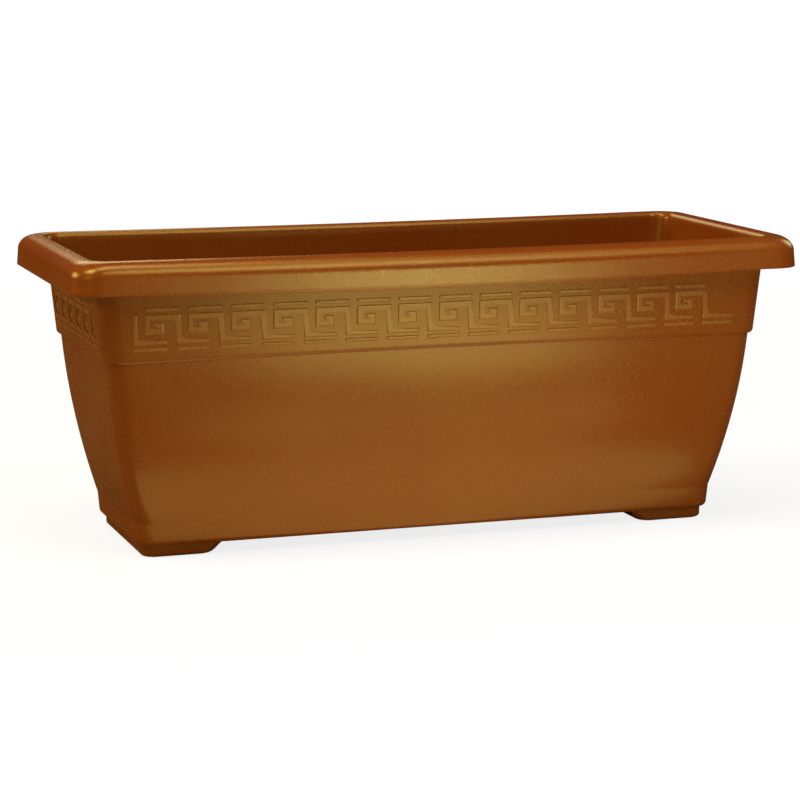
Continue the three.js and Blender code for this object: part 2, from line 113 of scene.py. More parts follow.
class TroughSizes(bpy.types.PropertyGroup):
    """Sizes of the moulded trough, read off the solid model where it gives them."""

    length: length("Length", "Over the rim, along X", CAD_HIGH.x - CAD_LOW.x)
    width: length("Width", "Over the rim, along Y", CAD_HIGH.y - CAD_LOW.y)
    height: length("Height", "From the ground to the crest of the rim", CAD_HIGH.z - CAD_LOW.z)
    wall: length("Wall", "Thickness of the moulding", 0.002)
    foot_height: length("Foot height", "Ground to the underside of the raised floor", 0.0095)
    plinth_height: length("Plinth height", "Height of the upright plinth", 0.018)
    rim_depth: length("Rim depth", "Lip edge to crest", 0.025)
    frieze_height: length("Frieze height", "Height of the frieze band below the lip edge", 0.0525)
    frieze_step_height: length("Frieze step height", "Rise of the rounding below it", 0.0033)
    lip_height: length("Lip height", "Height of the upright lip", 0.0125)
    lip_flare: length("Lip flare", "How far the lip stands out at its edge", 0.0008)
    lip_edge: length("Lip edge radius", "Rounding of the lip's lower edge", 0.0006)
    shoulder_width: length("Shoulder width", "From the lip's face to the crest", 0.0139)
    crest_width: length("Crest width", "From the lip's face to the mouth", 0.0173)
    crest_fall: length("Crest fall", "Drop of the crest towards the mouth", 0.0002)
    mouth_radius: length("Mouth radius", "Rounding into the inner wall", 0.006)
    rim_corner: length("Rim corner radius", "Plan radius at the lip", 0.0224)
    crest_corner: length("Crest corner radius", "Plan radius at the mouth", 0.018)
    frieze_inset_end: length("Frieze inset, ends", "Rim face to frieze at its top", 0.023)
    frieze_inset_side: length("Frieze inset, sides", "Rim face to frieze at its top", 0.0198)
    frieze_draft_end: length("Frieze draft, ends", "Lean from its top to its lower edge", 0.005)
    frieze_draft_side: length("Frieze draft, sides", "Lean from its top to its lower edge", 0.0031)
    frieze_corner: length("Frieze corner radius", "Plan radius of the frieze", 0.0156)
    frieze_step_end: length("Frieze step, ends", "How far it stands out from the body", 0.0034)
    frieze_step_side: length("Frieze step, sides", "How far it stands out from the body", 0.0028)
    body_taper_end: length("Body taper, ends", "Inset gained from frieze to plinth", 0.0235)
    body_taper_side: length("Body taper, sides", "Inset gained from frieze to plinth", 0.0205)
    body_straight: share("Straight share", "Share of the taper that is straight", 0.41)
    body_corner: length("Body corner radius", "Plan radius of body and plinth", 0.015)
    plinth_draft: length("Plinth draft", "How far the plinth leans in", 0.001)
    plinth_edge: length("Plinth edge radius", "Rounding of its lower edge", 0.0045)
    floor_fillet: length("Floor fillet", "Rounding between floor and inner wall", 0.0025)
    foot_inset: length("Foot inset", "Plinth face to foot", 0.0055)
    foot_edge: length("Foot edge radius", "Rounding of the foot's lower edge", 0.003)
    foot_corner: length("Foot corner radius", "Plan radius of a foot", 0.009)
    foot_length: length("Foot length", "Flat length of a foot", 0.054)
    foot_run: length("Foot run", "Length of the ogee at a foot's inner end", 0.015)
    foot_back: length("Foot wall shift", "Shift of the ogee inside the foot", 0.0008)
    crest_sag: length("Crest sag", "Drop of the long crests at mid length", 0.0012)
    lip_sag: length("Lip sag", "Drop of the long lips at mid length", 0.0036)
    frieze_rise: length("Frieze edge rise", "Rise of the frieze's lower edge at mid length", 0.0017)
    crease_rise: length("Crease rise", "Rise of the crease under the frieze at mid length", 0.0014)
    sag_span: length("Sag span", "Length over which the long edges sag", 0.516)


class KeySizes(bpy.types.PropertyGroup):
    """Sizes of the raised Greek key."""

    relief: length("Relief", "How far the lines stand out", 0.00045)
    root: length("Root", "How far they reach into the wall", 0.0008)
    line: length("Line", "Width of a line", 0.003)
    edge: length("Edge width", "Width of a line's sloping edges", 0.0014)
    slope: share("Edge slope", "Rise of a line's edges over their width", 0.32)
    top_margin: length("Top margin", "Lip edge to the first bar", 0.0122)
    row_gap: length("Row gap", "Between the bars and the key", 0.0023)
    pitch_side: length("Pitch, sides", "Along the long sides", 0.0337)
    pitch_end: length("Pitch, ends", "Along the ends", 0.0275)
    blank: share("Blank share", "Gap between motifs as a share of the pitch", 0.172)
    height: length("Key height", "From the tail's lower edge to the hook's top", 0.0232)
    spiral_height: length("Spiral height", "From the hook's foot to its top", 0.0152)
    curl_depth: length("Curl depth", "From the key's top to the curl's", 0.0066)
    margin_side: length("Margin, sides", "Plain face beside the key", 0.0095)
    margin_end: length("Margin, ends", "Plain face beside the key", 0.006)
    shift_side: length("Shift, sides", "How far the key sits off the middle of a long side", -0.002)


class GridSizes(bpy.types.PropertyGroup):
    """Sizes of the lift-out reservoir grid."""

    top: length("Top", "Height of the plate's upper face", 0.044)
    clearance: length("Clearance", "Gap to the trough's wall", 0.0028)
    plate: length("Plate", "Thickness of the plate", 0.0025)
    skirt: length("Skirt", "Depth of the turned-down edge", 0.006)
    corner: length("Corner radius", "Plan radius of the plate", 0.014)
    edge: length("Edge radius", "Rounding of the plate's upper edge", 0.0015)
    leg_top: length("Leg top radius", "Radius of a leg at the plate", 0.0065)
    leg_foot: length("Leg foot radius", "Radius of a leg at its foot", 0.004)
    leg_spacing: length("Leg spacing", "Between the two rows of legs", 0.090)
    slot_width: length("Slot width", "Width of a slot", 0.0045)
    slot_length: length("Slot length", "Length of a slot", 0.050)
    slot_pitch: length("Slot pitch", "From slot to slot", 0.030)
    slot_rows: length("Slot row spacing", "Between the two rows of slots", 0.064)
    slot_margin: length("Slot margin", "Least plate between a slot and a filler opening", 0.005)
    filler_width: length("Filler width", "Filler opening along the length of the plate", 0.026)
    filler_length: length("Filler length", "Filler opening across the plate", 0.056)
    filler_radius: length("Filler radius", "Corner radius of a filler opening", 0.008)
    filler_edge: length("Filler edge", "Plate between a filler opening and the plate's end", 0.0132)


class BungSizes(bpy.types.PropertyGroup):
    """Sizes of a drain bung and the hole it closes."""

    hole: length("Hole radius", "Radius of a drain hole", 0.008)
    columns: IntProperty(name="Columns", description="Drain holes along the length", default=3)
    spacing_x: length("Spacing along", "Between holes along the length", 0.105)
    spacing_y: length("Spacing across", "Between the two rows of holes", 0.064)
    clearance: length("Clearance", "Stem to hole", 0.00035)
    seat: length("Seat gap", "Under the flange and the grid's feet", 0.0003)
    flange_radius: length("Flange radius", "Radius of the flange", 0.0125)
    flange: length("Flange", "Thickness of the flange", 0.002)
    taper: length("Taper", "How much the stem narrows", 0.0007)
    wall: length("Stem wall", "Wall of the hollow stem", 0.0016)
    tip: length("Tip", "How far the stem stands out below the floor", 0.003)
    tab_width: length("Tab width", "Width of the pull tab", 0.013)
    tab_height: length("Tab height", "Height of the pull tab", 0.010)
    tab_thickness: length("Tab thickness", "Thickness of the pull tab", 0.0024)
    tab_hole: length("Tab hole radius", "Radius of the tab's eye", 0.0028)


class FinishSettings(bpy.types.PropertyGroup):
    """Colours and grain of the plastics."""

    bronze: colour("Bronze", "Base colour of the trough", (0.185, 0.033, 0.0022))
    # The paler tone serves as dust bloom, mixed in at random on the trough, and as a painted
    # highlight (painted sheen) over the key's lines.
    dust_and_sheen_tone: colour("Bloom", "Paler tone where the surface is dusty", (0.240, 0.078, 0.0120))
    sheen_tint: colour("Sheen tint", "Tint of the trough's gloss", (1.0, 0.88, 0.20))
    grid_black: colour("Grid black", "Colour of the reservoir grid", (0.014, 0.013, 0.012))
    bung_brown: colour("Bung brown", "Colour of the bungs", (0.060, 0.024, 0.008))
    roughness: share("Roughness", "Roughness of the moulded skin", 0.25)
    grain: length("Grain", "Depth of the fine moulded grain", 0.00006)


class StageSettings(bpy.types.PropertyGroup):
    """Camera, lamps and floor."""

    distance: length("Camera distance", "Camera to the point it looks at", 2.2036)
    azimuth: angle("Azimuth", "Camera's turn round the planter", -18.67)
    elevation: angle("Elevation", "Camera's height as an angle", 9.72)
    lens: number("Lens", "Focal length on a 36 mm sensor, in millimetres", 120.38)
    look_x: length("Look at X", "Point the camera looks at", -0.00416)
    look_z: length("Look at Z", "Point the camera looks at", 0.10099)
    world_light: number("World light", "Strength of the surroundings", 0.02)
    lamp_light: number("Lamp light", "Share of the lamps' power", 1.0)


# ---------------------------------------------------------------------------------------------
# Lofts

SHARP_ANGLE = math.radians(32)
WELD = 1e-7


class Level(NamedTuple):
    """One ring of the moulding: a rounded rectangle set in from the rim's outline."""

    end: float
    side: float
    radius: float
    z: float
    sag: float = 0.0


def mix(a, b, t):
    return a + (b - a) * t


def arc(steps):
    """Angles of a quarter turn in equal steps."""
    return [math.pi / 2 * i / steps for i in range(steps + 1)]


def rounded_rectangle(half_x, half_y, radius, corner_steps, long_steps=1, short_steps=1):
    """Points anticlockwise round a rounded rectangle, from its right side into its first corner."""
    points = []
    for corner, (sx, sy) in enumerate(((1, 1), (-1, 1), (-1, -1), (1, -1))):
        centre = Vector((sx * (half_x - radius), sy * (half_y - radius)))
        for a in arc(corner_steps):
            turn = a + corner * math.pi / 2
            points.append(centre + radius * Vector((math.cos(turn), math.sin(turn))))
        start = points[-1]
        finish = Vector((-start.x, start.y)) if corner % 2 == 0 else Vector((start.x, -start.y))
        steps = long_steps if corner % 2 == 0 else short_steps
        points += [start.lerp(finish, i / steps) for i in range(1, steps)]
    return points


def loft(name, rings):
    """One closed skin through a stack of rings, closed by a flat face at each end."""
    mesh = bpy.data.meshes.new(name)
    build = bmesh.new()
    rows = [[build.verts.new(point) for point in ring] for ring in rings]
    for low, high in zip(rows, rows[1:]):
        for i in range(len(low)):
            j = (i + 1) % len(low)
            build.faces.new((low[i], low[j], high[j], high[i]))
    build.faces.new(list(reversed(rows[0])))
    build.faces.new(rows[-1])
    build.to_mesh(mesh)
    build.free()
    return mesh


def show(data, name):
    """Object of a mesh, a lamp or a camera, in the scene."""
    thing = bpy.data.objects.new(name, data)
    bpy.context.scene.collection.objects.link(thing)
    return thing


def at_height(outline, z, x=0.0):
    """Ring of a plan outline at a height, moved along X."""
    return [Vector((p[0] + x, p[1], z)) for p in outline]


def prism(name, outline, low, high, x=0.0):
    """Object of a plan outline raised between two heights."""
    return show(loft(name, [at_height(outline, z, x) for z in (low, high)]), name)


def round_post(name, rings, steps=40):
    """Mesh of a turned solid from (radius, z) pairs, low end first."""
    turns = [2 * math.pi * i / steps for i in range(steps)]
    around = [(math.cos(t), math.sin(t)) for t in turns]
    return loft(name, [[Vector((r * c, r * s, z)) for c, s in around] for r, z in rings])


def plain_mesh(thing):
    """Mesh of an object as its modifiers leave it."""
    bpy.context.view_layer.update()
    graph = bpy.context.evaluated_depsgraph_get()
    return bpy.data.meshes.new_from_object(thing.evaluated_get(graph))


def settle(thing, name):
    """Plain mesh of an object, welded, and smooth between its sharp edges."""
    mesh = plain_mesh(thing)
    bpy.data.objects.remove(thing)
    mesh.name = name
    weld = bmesh.new()
    weld.from_mesh(mesh)
    bmesh.ops.remove_doubles(weld, verts=weld.verts, dist=WELD)
    bmesh.ops.dissolve_degenerate(weld, edges=weld.edges, dist=WELD)
    weld.to_mesh(mesh)
    weld.free()
    for polygon in mesh.polygons:
        polygon.use_smooth = True
    mesh.set_sharp_from_angle(angle=SHARP_ANGLE)
    return show(mesh, name)


def combine(thing, others, operation):
    """Joins or cuts with the exact solver, and removes the other objects."""
    for other in others:
        change = thing.modifiers.new(operation.lower(), "BOOLEAN")
        change.operation = operation
        change.solver = "EXACT"
        change.object = other
    mesh = plain_mesh(thing)
    thing.modifiers.clear()
    thing.data = mesh
    for other in others:
        bpy.data.objects.remove(other)
    return thing


def give_material(thing, material):
    thing.data.materials.clear()
    thing.data.materials.append(material)


def hand_over(thing, body, node):
    """The finished piece rides on its body and stands for its solid."""
    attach(thing, body)
    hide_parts(node)


# ---------------------------------------------------------------------------------------------
# The trough

DRAIN_CUT_LAP = 0.002


class TroughForm:
    """The moulding's section, written once for the outside and again a wall's thickness inside."""

    corner_steps = 14
    long_steps = 36
    short_steps = 8
    body_steps = 22
    frieze_steps = 6
    lip_steps = 4
    foot_corner_steps = 10
    edge_steps = 3
    hollow_steps = 10
    crown_steps = 16
    round_steps = 8
    foot_steps = (0, 0.06, 0.12, 0.18, 0.25, 0.32, 0.4, 0.5, 0.6, 0.7, 0.8, 0.9, 1)
    plinth_guard = 0.0012  # levels this near the plinth's top keep its edge tight
    crease_reach = 0.3  # share of the body's height over which the crease's rise dies out
    hollow_corner = 0.0015  # the hollow's corners are this much tighter behind the lip
    inner_start = 0.01  # the inner wall's levels start this far above the frieze
    least_edge = 0.001  # the hollow's lower edge is never sharper than this

    def __init__(self, s):
        self.s = s
        self.plinth_top = s.foot_height + s.plinth_height
        self.frieze_top = s.height - s.rim_depth
        self.frieze_bottom = self.frieze_top - s.frieze_height
        self.crease = self.frieze_bottom - s.frieze_step_height
        self.body_height = self.crease - self.plinth_top
        self.floor = s.foot_height + s.wall
        self.body_end = s.frieze_inset_end + s.frieze_draft_end + s.frieze_step_end
        self.body_side = s.frieze_inset_side + s.frieze_draft_side + s.frieze_step_side

    def outer_inset(self, z):
        """Inset of the body's and plinth's outside at a height, at the ends and at the sides."""
        s = self.s
        depth = min(1.0, max(0.0, (self.crease - z) / self.body_height))
        below = min(1.0, max(0.0, (self.plinth_top - z) / s.plinth_height))
        taper = s.body_straight * depth + (1 - s.body_straight) * depth**2
        end = self.body_end + s.body_taper_end * taper + s.plinth_draft * below
        return end, self.body_side + s.body_taper_side * taper + s.plinth_draft * below

    def frieze_inset(self, z):
        """Inset of the frieze's outside at a height, at the ends and at the sides."""
        s = self.s
        down = (self.frieze_top - z) / s.frieze_height
        end = s.frieze_inset_end + s.frieze_draft_end * down
        return end, s.frieze_inset_side + s.frieze_draft_side * down

    def rim_corner(self, inset):
        """Plan radius of the rim, from its lip to its mouth."""
        s = self.s
        return s.rim_corner - (s.rim_corner - s.crest_corner) * inset / s.crest_width

    def ring(self, level):
        s = self.s
        outline = rounded_rectangle(
            s.length / 2 - level.end,
            s.width / 2 - level.side,
            level.radius,
            self.corner_steps,
            self.long_steps,
            self.short_steps,
        )
        drop = [level.sag * max(0.0, 1 - (2 * p.x / s.sag_span) ** 2) for p in outline]
        return [Vector((p.x, p.y, level.z - d)) for p, d in zip(outline, drop)]

    def rim_sag(self, a):
        """Sag of the rim's curve, from the lip at its foot to the crest at its top."""
        return mix(self.s.lip_sag, self.s.crest_sag, 0.5 + 0.5 * math.sin(a))

    def body_levels(self, offset):
        """The curved body from the plinth up to the crease, set in by an offset."""
        s = self.s
        steps = self.body_steps
        heights = [mix(self.plinth_top, self.crease, i / steps) for i in range(steps + 1)]
        heights.insert(1, self.plinth_top + self.plinth_guard)
        heights.insert(0, self.plinth_top - self.plinth_guard)
        levels = []
        for z in heights:
            end, side = self.outer_inset(z)
            near = max(0.0, 1 - (self.crease - z) / (self.crease_reach * self.body_height)) ** 2
            lift = offset if z == heights[-1] else 0.0
            corner = s.body_corner - offset
            rise = -s.crease_rise * near
            levels.append(Level(end + offset, side + offset, corner, z + lift, rise))
        return levels

    def outer_levels(self):
        """The outside, from the plinth's lower edge up the body and the frieze."""
        s = self.s
        end, side = self.outer_inset(s.foot_height)
        levels = []
        for a in arc(self.round_steps):
            inset = s.plinth_edge * (1 - math.sin(a))
            z = s.foot_height + s.plinth_edge * (1 - math.cos(a))
            levels.append(Level(end + inset, side + inset, s.body_corner - inset, z))
        levels += self.body_levels(0.0)
        for a in arc(self.round_steps)[1:]:
            z = self.frieze_bottom - s.frieze_step_height * math.cos(a)
            rise = mix(s.crease_rise, s.frieze_rise, 1 - math.cos(a))
            out_end = self.body_end - s.frieze_step_end * math.sin(a)
            out_side = self.body_side - s.frieze_step_side * math.sin(a)
            levels.append(Level(out_end, out_side, s.frieze_corner, z, -rise))
        for i in range(1, self.frieze_steps):
            t = i / self.frieze_steps
            z = mix(self.frieze_bottom, self.frieze_top, t)
            end, side = self.frieze_inset(z)
            levels.append(Level(end, side, s.frieze_corner, z, mix(-s.frieze_rise, 0, t)))
        return levels

    def rim_levels(self):
        """The hollow under the rim, its lip's lower edge, the lip and the crest, to the mouth."""
        s = self.s
        levels = []
        mouth = s.height - s.crest_fall - s.mouth_radius
        neck_end, neck_side = self.frieze_inset(mouth)
        for a in arc(6):
            end = mix(neck_end, s.crest_width, 1 - math.cos(a))
            side = mix(neck_side, s.crest_width, 1 - math.cos(a))
            z = mouth + (s.mouth_radius - s.wall) * math.sin(a)
            levels.append(Level(end, side, s.frieze_corner, z, s.crest_sag))
        shoulder = self.frieze_top + s.lip_height
        rise = s.height - shoulder
        inner_flare = s.lip_flare + s.wall
        for a in reversed(arc(self.hollow_steps)):
            inset = inner_flare + (s.shoulder_width - s.lip_flare - s.wall) * (1 - math.cos(a))
            z = shoulder + (rise - s.wall) * math.sin(a)
            corner = self.rim_corner(inset) - self.hollow_corner * math.cos(a)
            levels.append(Level(inset, inset, corner, z, self.rim_sag(a)))
        edge = s.lip_edge
        for a in arc(self.edge_steps):
            inset = s.wall - edge * (1 - math.cos(a))
            z = self.frieze_top + edge * (1 - math.sin(a))
            levels.append(Level(inset, inset, s.rim_corner - inset, z, s.lip_sag))
        for a in reversed(arc(self.edge_steps)):
            inset = edge * (1 - math.cos(a))
            z = self.frieze_top + edge * (1 - math.sin(a))
            levels.append(Level(inset, inset, s.rim_corner - inset, z, s.lip_sag))
        for i in range(1, self.lip_steps):
            t = i / self.lip_steps
            inset = s.lip_flare * t
            z = mix(self.frieze_top + edge, shoulder, t)
            sag = mix(s.lip_sag, (s.lip_sag + s.crest_sag) / 2, t)
            levels.append(Level(inset, inset, s.rim_corner, z, sag))
        for a in arc(self.crown_steps):
            inset = s.lip_flare + (s.shoulder_width - s.lip_flare) * (1 - math.cos(a))
            z = shoulder + rise * math.sin(a)
            levels.append(Level(inset, inset, self.rim_corner(inset), z, self.rim_sag(a)))
        for a in reversed(arc(self.round_steps)):
            t = 1 - math.cos(a)
            end = mix(neck_end + s.wall, s.crest_width, t)
            side = mix(neck_side + s.wall, s.crest_width, t)
            radius = mix(s.frieze_corner - s.wall, s.crest_corner, t)
            z = mouth + s.mouth_radius * math.sin(a)
            levels.append(Level(end, side, radius, z, s.crest_sag))
        return levels

    def inner_levels(self):
        """The inside, from below the mouth down to the floor's fillet."""
        s = self.s
        levels = []
        corner = s.frieze_corner - s.wall
        for i in range(1, self.frieze_steps):
            t = i / self.frieze_steps
            z = mix(self.frieze_top + self.inner_start, self.frieze_bottom + s.wall, t)
            end, side = self.frieze_inset(z)
            rise = mix(0, -s.frieze_rise, t)
            levels.append(Level(end + s.wall, side + s.wall, corner, z, rise))
        inner = s.frieze_step_height - s.wall
        for a in list(reversed(arc(4)))[:-1]:
            z = self.frieze_bottom + s.wall - inner * math.cos(a)
            out_end = self.body_end + s.wall - s.frieze_step_end * math.sin(a)
            out_side = self.body_side + s.wall - s.frieze_step_side * math.sin(a)
            levels.append(Level(out_end, out_side, corner, z, -s.frieze_rise))
        levels += list(reversed(self.body_levels(s.wall)))
        end, side = self.outer_inset(self.floor)
        for a in reversed(arc(4)):
            inset = s.wall + s.floor_fillet * (1 - math.sin(a))
            z = self.floor + s.floor_fillet * (1 - math.cos(a))
            levels.append(Level(end + inset, side + inset, s.body_corner - inset, z))
        return levels

    def shell(self):
        levels = self.outer_levels() + self.rim_levels() + self.inner_levels()
        return show(loft("trough_shell", [self.ring(level) for level in levels]), "trough_shell")

    def foot(self, side, offset, top):
        """A foot pan, or the hollow inside it: a shallow tray whose inner end rises in an ogee."""
        s = self.s
        base_end, base_side = self.outer_inset(s.foot_height)
        outer_x = s.length / 2 - base_end - s.foot_inset - offset
        half_y = s.width / 2 - base_side - s.foot_inset - offset
        inner_x = s.length / 2 - base_end - s.foot_inset - s.foot_length
        inner_x += s.foot_back if offset else 0.0
        radius = s.foot_edge - min(offset, s.foot_edge - self.least_edge)
        rings = []
        for run in self.foot_steps:
            z = s.foot_height * (3 - 2 * run) * run**2
            rise = min(z, radius)
            edge = radius - math.sqrt(max(0.0, radius**2 - (radius - rise) ** 2))
            low, high = inner_x - s.foot_run * run, outer_x - edge
            outline = rounded_rectangle(
                (high - low) / 2, half_y - edge, s.foot_corner - offset, self.foot_corner_steps
            )
            rings.append(at_height(outline, z + offset, side * (low + high) / 2))
        rings.append(at_height(rings[-1], top))
        return show(loft("foot", rings), "foot")


def drain_centres(b):
    """Places of the drain holes, two rows of them along the floor."""
    middle = (b.columns - 1) / 2
    along = [(column - middle) * b.spacing_x for column in range(b.columns)]
    return [(x, side * b.spacing_y / 2) for x in along for side in (-1, 1)]


class PLANTER_OT_trough(bpy.types.Operator):
    """Builds the moulded trough with its rim, frieze band, plinth and feet"""

    bl_idname = "planter.trough"
    bl_label = "Trough"

    def execute(self, context):
        form = TroughForm(context.scene.planter_trough)
        s = form.s
        bungs = context.scene.planter_bungs
        lap = s.wall / 2
        shell = form.shell()
        combine(shell, [form.foot(side, 0.0, s.foot_height + lap) for side in (-1, 1)], "UNION")
        cutters = [form.foot(side, s.wall, form.floor + lap) for side in (-1, 1)]
        for x, y in drain_centres(bungs):
            ends = (s.foot_height - DRAIN_CUT_LAP, form.floor + DRAIN_CUT_LAP)
            post = round_post("drain", [(bungs.hole, z) for z in ends])
            post.transform(Matrix.Translation((x, y, 0)))
            cutters.append(show(post, "drain"))
        combine(shell, cutters, "DIFFERENCE")
        trough = settle(shell, "trough_moulding")
        finish = context.scene.planter_finish
        give_material(trough, bronze_plastic("bronze_brown_plastic", finish, painted_sheen=0.0))
        hand_over(trough, "trough", "trough")
        return {"FINISHED"}


# ---------------------------------------------------------------------------------------------
# Geometry Nodes


def wire(tree, source, target):
    tree.links.new(source, target)


def new_tree(name, sockets):
    """A tree with named inputs, and the sockets that give them inside it."""
    tree = bpy.data.node_groups.new(name, "GeometryNodeTree")
    face = tree.interface
    for label, kind in sockets.items():
        face.new_socket(name=label, in_out="INPUT", socket_type="NodeSocket" + kind)
    face.new_socket(name="Geometry", in_out="OUTPUT", socket_type="NodeSocketGeometry")
    return tree, tree.nodes.new("NodeGroupInput").outputs


def instances(tree, points, piece):
    """An object repeated on points."""
    info = tree.nodes.new("GeometryNodeObjectInfo")
    wire(tree, piece, info.inputs["Object"])
    place = tree.nodes.new("GeometryNodeInstanceOnPoints")
    wire(tree, points, place.inputs["Points"])
    wire(tree, info.outputs["Geometry"], place.inputs["Instance"])
    return place.outputs["Instances"]


def realized(tree, geometry):
    realize = tree.nodes.new("GeometryNodeRealizeInstances")
    wire(tree, geometry, realize.inputs["Geometry"])
    return realize.outputs["Geometry"]


def end_tree(tree, geometry, material):
    """The tree's output: its instances realized, in one material."""
    paint = tree.nodes.new("GeometryNodeSetMaterial")
    wire(tree, realized(tree, geometry), paint.inputs["Geometry"])
    wire(tree, material, paint.inputs["Material"])
    out = tree.nodes.new("NodeGroupOutput")
    wire(tree, paint.outputs["Geometry"], out.inputs["Geometry"])
    return tree


def run_tree(mesh, tree, values):
    """Plain mesh of a tree on a mesh, its inputs set by their sockets' identifiers."""
    holder = show(mesh, "holder")
    change = holder.modifiers.new("tree", "NODES")
    change.node_group = tree
    for socket in tree.interface.items_tree:
        if socket.in_out == "INPUT" and socket.name in values:
            change[socket.identifier] = values[socket.name]
    made = plain_mesh(holder)
    holder.modifiers.clear()
    bpy.data.objects.remove(holder)
    return made


# ---------------------------------------------------------------------------------------------
# The Greek key

# Shares of a pitch, of a motif's width and of a line's width, as the pattern has them
TAIL_SHARE = 0.778
CURL_RIGHT_SHARE = 0.55
CURL_LEFT_SHARE = 0.27
CURL_LINE_SHARE = 0.86
BAR_TRIM_SHARE = 0.3
NARROW_LINE_GAIN = 0.06
EDGE_STEPS = 3
EDGE_PROFILE = 0.5
# Painted sheen: the key's lines take the paler tone almost all over, a painted highlight for the
# sheen that the raised lines catch.
KEY_PAINTED_SHEEN = 0.85


class FriezeFace(NamedTuple):
    """One face of the frieze: the room its key has, and how the face stands."""

    pitch: float
    room: float
    shift: float
    reach: float
    inset: float
    draft: float
    turn: float


def plaque(name, outlines, k):
    """Flat outlines raised into bars whose upper edges are softened and then pressed to a slope."""
    depth_low, depth_high = -k.root / k.slope, k.relief / k.slope
    build = bmesh.new()
    for outline in outlines:
        base = [build.verts.new((x, y, depth_low)) for x, y in outline]
        top = [build.verts.new((x, y, depth_high)) for x, y in outline]
        count = len(outline)
        build.faces.new(list(reversed(base)))
        crown = build.faces.new(top)
        for i in range(count):
            j = (i + 1) % count
            build.faces.new((base[i], base[j], top[j], top[i]))
        bmesh.ops.bevel(
            build,
            geom=list(crown.edges),
            offset=k.edge,
            segments=EDGE_STEPS,
            profile=EDGE_PROFILE,
            affect="EDGES",
            clamp_overlap=True,
        )
    bmesh.ops.scale(build, vec=(1, 1, k.slope), verts=build.verts)
    mesh = bpy.data.meshes.new(name)
    build.to_mesh(mesh)
    build.free()
    return mesh


def key_line(k, pitch):
    return k.line * min(1.0, pitch / k.pitch_side + NARROW_LINE_GAIN)


def spiral_outline(k, pitch):
    """One key motif: a hook that winds in to a small curl, with its tail under the next motif."""
    line = key_line(k, pitch)
    width = pitch * (1 - k.blank)
    rise = k.line
    top = k.height
    low = top - k.spiral_height
    curl_top = top - k.curl_depth
    curl_right, curl_left = width * CURL_RIGHT_SHARE, width * CURL_LEFT_SHARE
    inner = curl_top - rise * CURL_LINE_SHARE
    tail = width - line + pitch * TAIL_SHARE
    return [
        (0, low),
        (curl_right, low),
        (curl_right, curl_top),
        (curl_left, curl_top),
        (curl_left, inner),
        (curl_right - line, inner),
        (curl_right - line, low + rise),
        (line, low + rise),
        (line, top - rise),
        (width - line, top - rise),
        (width - line, 0),
        (tail, 0),
        (tail, rise),
        (width, rise),
        (width, top),
        (0, top),
    ]


def bar_outline(left, low, right, high):
    return [(left, low), (right, low), (right, high), (left, high)]


def key_tree():
    """Repeats a motif and a bar along one panel, adds its start and stands it on its face."""
    tree, given = new_tree(
        "greek_key_panel",
        {
            "Motif": "Object",
            "Bar": "Object",
            "Start": "Object",
            "Motifs": "Int",
            "Pitch": "Float",
            "First Motif": "Float",
            "First Bar": "Float",
            "Place": "Vector",
            "Turn": "Vector",
            "Material": "Material",
        },
    )
    join = tree.nodes.new("GeometryNodeJoinGeometry")

    def along(source):
        vector = tree.nodes.new("ShaderNodeCombineXYZ")
        wire(tree, source, vector.inputs["X"])
        return vector.outputs[0]

    def row(piece, count, first):
        line = tree.nodes.new("GeometryNodeMeshLine")
        line.mode = "OFFSET"
        wire(tree, count, line.inputs["Count"])
        wire(tree, along(first), line.inputs["Start Location"])
        wire(tree, along(given["Pitch"]), line.inputs["Offset"])
        wire(tree, instances(tree, line.outputs["Mesh"], piece), join.inputs["Geometry"])

    more = tree.nodes.new("ShaderNodeMath")
    more.operation = "ADD"
    more.inputs[1].default_value = 1
    wire(tree, given["Motifs"], more.inputs[0])
    one = tree.nodes.new("FunctionNodeInputInt")
    one.integer = 1
    row(given["Motif"], given["Motifs"], given["First Motif"])
    row(given["Bar"], more.outputs[0], given["First Bar"])
    row(given["Start"], one.outputs[0], given["First Bar"])
    stand = tree.nodes.new("GeometryNodeTransform")
    wire(tree, join.outputs["Geometry"], stand.inputs["Geometry"])
    wire(tree, given["Place"], stand.inputs["Translation"])
    wire(tree, given["Turn"], stand.inputs["Rotation"])
    return end_tree(tree, stand.outputs["Geometry"], given["Material"])


def key_panel(k, form, tree, material, face):
    """The mesh of one panel of the frieze."""
    pitch = face.pitch
    width = pitch * (1 - k.blank)
    line = key_line(k, pitch)
    tail = pitch * TAIL_SHARE
    motifs = int((face.room - tail) / pitch)
    start = -(motifs * pitch + tail) / 2
    spiral_top = -(k.top_margin + k.line + k.row_gap)
    tail_low = spiral_top - k.height
    bar_high = tail_low - k.row_gap
    hook = [(x, y + tail_low) for x, y in spiral_outline(k, pitch)]
    upper_bar = bar_outline(
        0, -k.top_margin - k.line, width - line * BAR_TRIM_SHARE, -k.top_margin
    )
    lower_bar = bar_outline(0, bar_high - k.line, tail, bar_high)
    first_hook = [
        (0, tail_low),
        (tail, tail_low),
        (tail, tail_low + k.line),
        (line, tail_low + k.line),
        (line, spiral_top),
        (0, spiral_top),
    ]
    pieces = {"Motif": [hook, upper_bar], "Bar": [lower_bar], "Start": [first_hook]}
    objects = {}
    for label, outlines in pieces.items():
        name = label.lower()
        objects[label] = show(plaque(name, outlines, k), name)
    lean = math.atan(face.draft / form.s.frieze_height)
    turned = Matrix.Rotation(face.turn, 3, "Z")
    up = turned @ Matrix.Rotation(math.pi / 2 + lean, 3, "X")
    values = {
        **objects,
        "Motifs": motifs,
        "Pitch": pitch,
        "First Motif": start + pitch - width + line,
        "First Bar": start,
        "Place": turned @ Vector((face.shift, -(face.reach - face.inset), form.frieze_top)),
        "Turn": up.to_euler(),
        "Material": material,
    }
    made = run_tree(bpy.data.meshes.new("panel"), tree, values)
    for thing in objects.values():
        bpy.data.objects.remove(thing)
    return made


